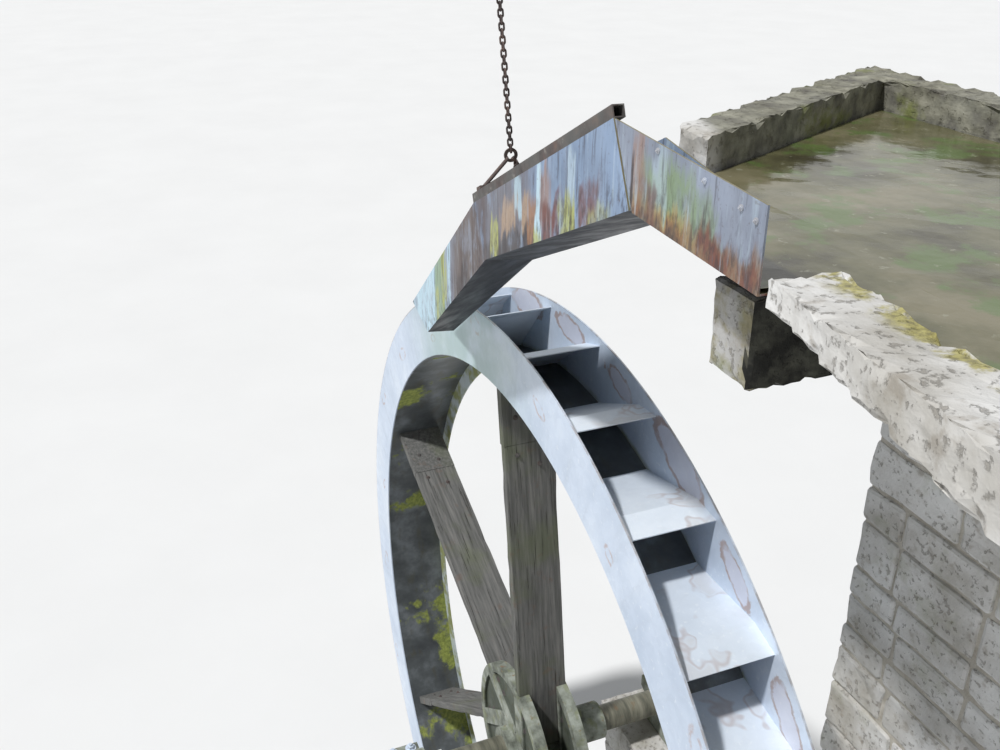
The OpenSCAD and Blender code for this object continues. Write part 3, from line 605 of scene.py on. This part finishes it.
def rough_copy(node, slot, finish, grain, wear):
    """A stone node's own form with worn arrises and an uneven face, everywhere inside the node."""
    mesh = bmesh.new()
    mesh.from_mesh(frame["nodes"][node].data)
    bmesh.ops.remove_doubles(mesh, verts=mesh.verts, dist=0.0001)
    bmesh.ops.dissolve_limit(mesh, verts=mesh.verts, edges=mesh.edges, angle_limit=0.01)
    bmesh.ops.triangulate(mesh, faces=mesh.faces)
    for _ in range(8):
        long_edges = [e for e in mesh.edges if e.calc_length() > grain]
        if not long_edges:
            break
        bmesh.ops.subdivide_edges(mesh, edges=long_edges, cuts=1)
        bmesh.ops.triangulate(mesh, faces=mesh.faces)
    mesh.normal_update()
    inward = []
    for v in mesh.verts:
        arris = any(e.calc_face_angle(0) > 0.5 for e in v.link_edges)
        uneven = 0.5 + 0.5 * noise.noise(v.co / 0.11) + 0.3 * noise.noise(v.co / 0.03)
        inward.append(v.normal * (-wear * (uneven + (0.8 if arris else 0))))
    for v, move in zip(mesh.verts, inward):
        v.co += move
    keep_inside(mesh, *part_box(node))
    piece = new_piece(node + "_stone", mesh, "structure", slot, finish)
    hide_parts(node)


for seed, node in enumerate(("near_pier", "far_pier", "headrace_pier")):
    stone_courses(node, 3 + seed)
for node in ("near_cap_stone", "far_cap_stone"):
    rough_copy(node, "masonry", STONE, grain=0.04, wear=0.007)
rough_copy("headrace_beam", "concrete", MOSSY_STONE, grain=0.035, wear=0.010)
rough_copy("headrace_channel", "concrete", CURB_STONE, grain=0.045, wear=0.014)


def in_plan(u, v, z=0.0):
    """A place in the chute's own frame: along the flow, across from the near side, up from its joint."""
    return CHUTE_JOINT + FLOW * u + ACROSS * v + Vector((0, 0, z))


def cut(mesh, place, outward, clear=False):
    """Cuts the mesh by a plane, and clears what lies outward of it if asked to."""
    bmesh.ops.bisect_plane(mesh, geom=[*mesh.verts, *mesh.edges, *mesh.faces], plane_co=place,
                           plane_no=outward, clear_outer=clear)


def channel_water():
    """Still water in the headrace channel and over the chute's floor: a sheet cut off a little inside
    the channel's walls and the chute's side, that sinks a little towards the chute's joint."""
    inlet = in_plan(INLET, 0)
    near_in = Vector((math.sin(NEAR_WALL_ANGLE), math.cos(NEAR_WALL_ANGLE), 0))
    near_wall = inlet + near_in * (NEAR_WALL_THICK + WATER_CLEARANCE)
    front_wall = in_plan(FRONT_WALL - WATER_CLEARANCE, CHUTE_WIDE)
    front_out = Vector((-math.cos(FRONT_ANGLE), -math.sin(FRONT_ANGLE), 0))
    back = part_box("headrace_channel")[1] - Vector((1, 1, 0)) * (BACK_WALL_THICK + WATER_CLEARANCE)
    chute_side, chute_end, past_chute = in_plan(0, 0.005), in_plan(-0.012, 0), CHUTE_WIDE + 0.002
    mesh = bmesh.new()
    bmesh.ops.create_grid(mesh, x_segments=60, y_segments=60, size=1.5)
    middle = Vector((AXLE.x + 2.0, AXLE.y, CHUTE_JOINT.z + WATER_LEVEL))
    bmesh.ops.translate(mesh, verts=mesh.verts, vec=middle)
    for place, outward in ((back, Vector((1, 0, 0))), (back, Vector((0, 1, 0))), (front_wall, front_out)):
        cut(mesh, place, outward, clear=True)
    for place, outward in ((in_plan(0, past_chute), ACROSS), (inlet, FLOW), (chute_side, -ACROSS),
                           (chute_end, FLOW), (near_wall, near_in)):
        cut(mesh, place, outward)
    past = []
    for face in mesh.faces:
        middle = face.calc_center_median()
        in_chute = (middle - inlet).dot(FLOW) > 0
        past_near_wall = (middle - near_wall).dot(near_in) < 0 and not in_chute
        past_side = (middle - chute_side).dot(ACROSS) < 0
        past_end = (middle - chute_end).dot(FLOW) > 0 and (middle - CHUTE_JOINT).dot(ACROSS) < past_chute
        if past_near_wall or (past_side and in_chute) or past_end:
            past.append(face)
    bmesh.ops.delete(mesh, geom=past, context="FACES")
    for v in mesh.verts:
        v.co.z += 0.0015 * noise.noise(v.co / 0.06)
        along, across = (v.co - CHUTE_JOINT).dot(FLOW), (v.co - CHUTE_JOINT).dot(ACROSS)
        if across < past_chute + 0.0005:
            v.co.z -= 0.007 * min(1.0, max(0.0, (along + 0.20) / 0.18))
    new_piece("channel_water", mesh, "structure", "concrete", WATER)


channel_water()


def add_bolt(mesh, place, axis, across_flats, height):
    """A hexagon head or nut on its washer, standing on a face along an axis."""
    place = Matrix.Translation(place) @ Vector(axis).to_track_quat("Z", "Y").to_matrix().to_4x4()
    washer = (20, 0.9, 0.9, 0.003, 0.0012)
    head = (6, 0.577, 0.56, height, 0.002 + height / 2)
    thread = (12, 0.29, 0.26, height * 0.7, 0.002 + height * 1.3)
    for sides, foot, top, depth, middle in (washer, head, thread):
        bmesh.ops.create_cone(mesh, cap_ends=True, segments=sides, radius1=across_flats * foot,
                              radius2=across_flats * top, depth=depth,
                              matrix=place @ Matrix.Translation((0, 0, middle)))


def arm_angle(number):
    return FIRST_ARM + number * 2 * math.pi / ARMS


def arm_place(number, tangent, across, out):
    """A place in an arm's own frame: sideways round the wheel, across it and out from the axle."""
    angle = arm_angle(number)
    return AXLE + Vector((tangent * math.cos(angle) + out * math.sin(angle), across,
                          -tangent * math.sin(angle) + out * math.cos(angle)))


def wheel_bolts():
    """Rusty bolts through the arms: small ones at the end pieces, larger ones through the flanges' ribs."""
    end_bolts = ((1.775, -0.06), (1.717, 0.043), (1.60, -0.06), (1.54, 0.043))
    rib_thick = 0.018
    ends = bmesh.new()
    ribs = bmesh.new()
    face = ARM_OFFSET + ARM_THICK / 2
    for n in range(ARMS):
        way = Vector((math.cos(arm_angle(n)), 0, -math.sin(arm_angle(n))))
        for out, across in end_bolts:
            add_bolt(ends, arm_place(n, face, across, out), way, 0.013, 0.006)
            add_bolt(ends, arm_place(n, face - ARM_THICK, across, out), -way, 0.013, 0.006)
        for out in (0.20, 0.275, 0.35):
            for across in (-0.0975, 0.0975):
                add_bolt(ribs, arm_place(n, face + rib_thick, across, out), way, 0.024, 0.011)
    new_piece("arm_end_bolts", ends, "wheel", "dark_steel", BOLT)
    new_piece("flange_bolts", ribs, "wheel", "dark_steel", BOLT)


def plank_arms():
    """The arm planks with worn edges, standing for the plain ones."""
    for n in range(ARMS):
        mesh = bmesh.new()
        add_block(mesh, (ARM_OFFSET - ARM_THICK / 2, -ARM_WIDE / 2, ARM_START),
                  (ARM_OFFSET + ARM_THICK / 2, ARM_WIDE / 2, ARM_JOINT), 0.005)
        bmesh.ops.subdivide_edges(mesh, edges=[e for e in mesh.edges if e.calc_length() > 0.2], cuts=22,
                                  use_grid_fill=True)
        for v in mesh.verts:
            deepest = 0.006 if abs(abs(v.co.y) - ARM_WIDE / 2) < 0.006 else 0.0015
            chip = max(0.0, noise.noise((v.co + Vector((n * 3.1, 0, 0))) / 0.09)) * deepest
            v.co.y -= math.copysign(chip, v.co.y)
            v.co.x += (ARM_OFFSET - v.co.x) * min(0.9, chip / 0.02)
        turned = Matrix.Translation(AXLE) @ Matrix.Rotation(arm_angle(n), 4, "Y")
        bmesh.ops.transform(mesh, matrix=turned, verts=mesh.verts)
        piece = new_piece(f"arm_{n + 1}_plank", mesh, "wheel", "weathered_wood", PLANKS[n])
        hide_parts(f"arm_{n + 1}")


def bearing_bolts():
    """Nuts on the ears of both bearings and on their feet."""
    ear_top, foot_top, foot_out, from_middle = 0.032, 0.045, 0.195, 0.045
    mesh = bmesh.new()
    for name in ("near_bearing", "far_bearing"):
        low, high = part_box(name)
        middle = (low + high) / 2
        ear_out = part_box(name + "_cap")[1].x - middle.x - 0.027
        for x in (-1, 1):
            for y in (-1, 1):
                across = middle.y + y * from_middle
                for out, top in ((ear_out, AXLE.z + ear_top), (foot_out, low.z + foot_top)):
                    add_bolt(mesh, Vector((middle.x + x * out, across, top)), (0, 0, 1), 0.030, 0.016)
    new_piece("bearing_bolts", mesh, "structure", "dark_steel", BRIGHT)


def chute_bolts():
    """The four small bolts near the top of the upper chute's near side."""
    mesh = bmesh.new()
    for u, z in ((-0.116, 0.150), (-0.300, 0.140), (-0.426, 0.128), (-0.474, 0.120)):
        add_bolt(mesh, in_plan(u, 0, z), -ACROSS, 0.0065, 0.003)
    new_piece("chute_bolts", mesh, "structure", "dark_steel", BRIGHT)


def add_link(mesh, place, turn, radius=0.0072, wire=0.0026, straight=0.0032):
    """One chain link: a ring drawn out along its length."""
    circle = bmesh.ops.create_circle(mesh, segments=8, radius=wire,
                                     matrix=Matrix.Translation((radius, 0, 0)))
    before = set(mesh.verts) - set(circle["verts"])
    edges = edges_of(circle["verts"])
    bmesh.ops.spin(mesh, geom=circle["verts"] + edges, cent=(0, 0, 0), axis=(0, 1, 0), angle=2 * math.pi,
                   steps=20, use_merge=True)
    made = [v for v in mesh.verts if v not in before]
    for v in made:
        v.co.z += math.copysign(straight, v.co.z) if abs(v.co.z) > 1e-5 else 0
    hung = Matrix.Translation(place) @ Matrix.Rotation(turn, 4, "Z")
    bmesh.ops.transform(mesh, matrix=hung, verts=made)


def spare_links():
    """The chain's spare end, which hangs from the eye into the hanger."""
    low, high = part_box("chute_hanger")
    eye = Vector(((low.x + high.x) / 2, (low.y + high.y) / 2, high.z - 0.022))
    mesh = bmesh.new()
    for i in range(4):
        add_link(mesh, eye + Vector((0.004, 0.016, -0.026 - i * 0.0158)), math.radians(90 * (i % 2) + 20))
    new_piece("spare_chain", mesh, "structure", "dark_steel", DARK)


wheel_bolts()
plank_arms()
bearing_bolts()
chute_bolts()
spare_links()


def add_camera():
    lens = bpy.data.cameras.new("camera")
    lens.lens = CAMERA_LENS
    lens.sensor_width = 36
    camera = bpy.data.objects.new("camera", lens)
    camera.location = CAMERA_PLACE
    camera.rotation_mode = "QUATERNION"
    camera.rotation_quaternion = CAMERA_AIM.to_track_quat("-Z", "Y")
    bpy.context.scene.collection.objects.link(camera)
    bpy.context.scene.camera = camera


def add_sun():
    sun = bpy.data.lights.new("key", "SUN")
    sun.energy = SUN_STRENGTH
    sun.angle = math.radians(4)
    key = bpy.data.objects.new("key", sun)
    key.rotation_mode = "QUATERNION"
    key.rotation_quaternion = SUN_WAY.to_track_quat("-Z", "Y")
    bpy.context.scene.collection.objects.link(key)


def add_sky():
    """A pale blue light from all round, with a white backdrop where the camera or a shiny piece sees it."""
    world = bpy.data.worlds.new("studio")
    world.use_nodes = True
    bpy.context.scene.world = world
    nodes, links = world.node_tree.nodes, world.node_tree.links
    light = nodes["Background"]
    light.inputs["Color"].default_value = SKY_COLOUR
    light.inputs["Strength"].default_value = SKY_STRENGTH
    backdrop = nodes.new("ShaderNodeBackground")
    backdrop.inputs["Color"].default_value = (1, 1, 1, 1)
    path = nodes.new("ShaderNodeLightPath")
    seen = nodes.new("ShaderNodeMath")
    seen.operation = "MAXIMUM"
    links.new(path.outputs["Is Camera Ray"], seen.inputs[0])
    shiny = nodes.new("ShaderNodeMath")
    shiny.operation = "MAXIMUM"
    links.new(path.outputs["Is Glossy Ray"], shiny.inputs[0])
    links.new(path.outputs["Is Transmission Ray"], shiny.inputs[1])
    links.new(shiny.outputs[0], seen.inputs[1])
    mixed = nodes.new("ShaderNodeMixShader")
    links.new(seen.outputs[0], mixed.inputs[0])
    links.new(light.outputs[0], mixed.inputs[1])
    links.new(backdrop.outputs[0], mixed.inputs[2])
    links.new(mixed.outputs[0], nodes["World Output"].inputs["Surface"])


def add_floor():
    mesh = bmesh.new()
    bmesh.ops.create_grid(mesh, x_segments=1, y_segments=1, size=400)
    data = bpy.data.meshes.new("floor")
    mesh.to_mesh(data)
    mesh.free()
    floor = bpy.data.objects.new("floor", data)
    bpy.context.scene.collection.objects.link(floor)
    f = Finish("pale_floor", roughness=0.9, specular=0.1)
    pale = f.ramp(f.noise(2.0), (0.3, 0.79, 0.79, 0.785), (0.7, 0.82, 0.82, 0.815))
    data.materials.append(f.finish(pale))


add_camera()
add_sun()
add_sky()
add_floor()
bpy.context.scene.view_settings.view_transform = "Standard"
